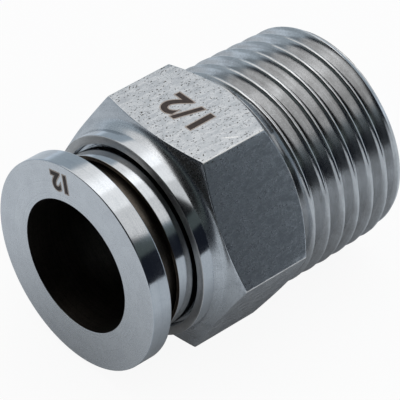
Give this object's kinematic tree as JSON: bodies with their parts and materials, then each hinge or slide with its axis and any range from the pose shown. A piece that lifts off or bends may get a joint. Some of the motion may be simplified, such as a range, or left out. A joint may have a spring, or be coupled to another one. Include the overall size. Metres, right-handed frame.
{
  "type": "push-in tube fitting, male straight connector",
  "caption": "Stainless push-in tube fitting with a flanged release ring, a hexagon body and a male taper pipe thread.",
  "frame": {"origin": "on the fitting's axis, at the middle of the release ring's outer face with the ring fully out", "axes": "+X along the axis from the tube's end to the thread's end; +Z is the normal of the hexagon's upper flat, and the fitting lies on the opposite flat"},
  "size_m": [0.0302, 0.0242, 0.021],
  "materials": {
    "body_steel": "turned and milled stainless steel, satin, with fine pits on the flats",
    "ring_steel": "turned stainless steel, fine on the rim and matt on the face",
    "guide_steel": "turned stainless steel, smooth",
    "inner_steel": "pressed and turned stainless steel, plain",
    "seal_rubber": "black fluorocarbon rubber, smooth"
  },
  "bodies": {
    "fitting_body": {"body": "body_steel", "guide_bush": "guide_steel", "seal": "seal_rubber"},
    "collet_set": {"collet": "inner_steel", "chuck": "inner_steel"},
    "release_ring": {"release_ring": "ring_steel"}
  },
  "joints": [
    {"name": "collet_spin", "type": "hinge", "parent": "fitting_body", "child": "collet_set", "pos_m": [0.0105, 0, 0], "axis": [1, 0, 0], "continuous": true},
    {"name": "ring_press", "type": "slide", "parent": "collet_set", "child": "release_ring", "axis": [1, 0, 0], "range_m": [0, 0.0023], "stiffness_N_per_m": 2500, "springref_m": -0.0002, "deforming": ["chuck"]}
  ]
}
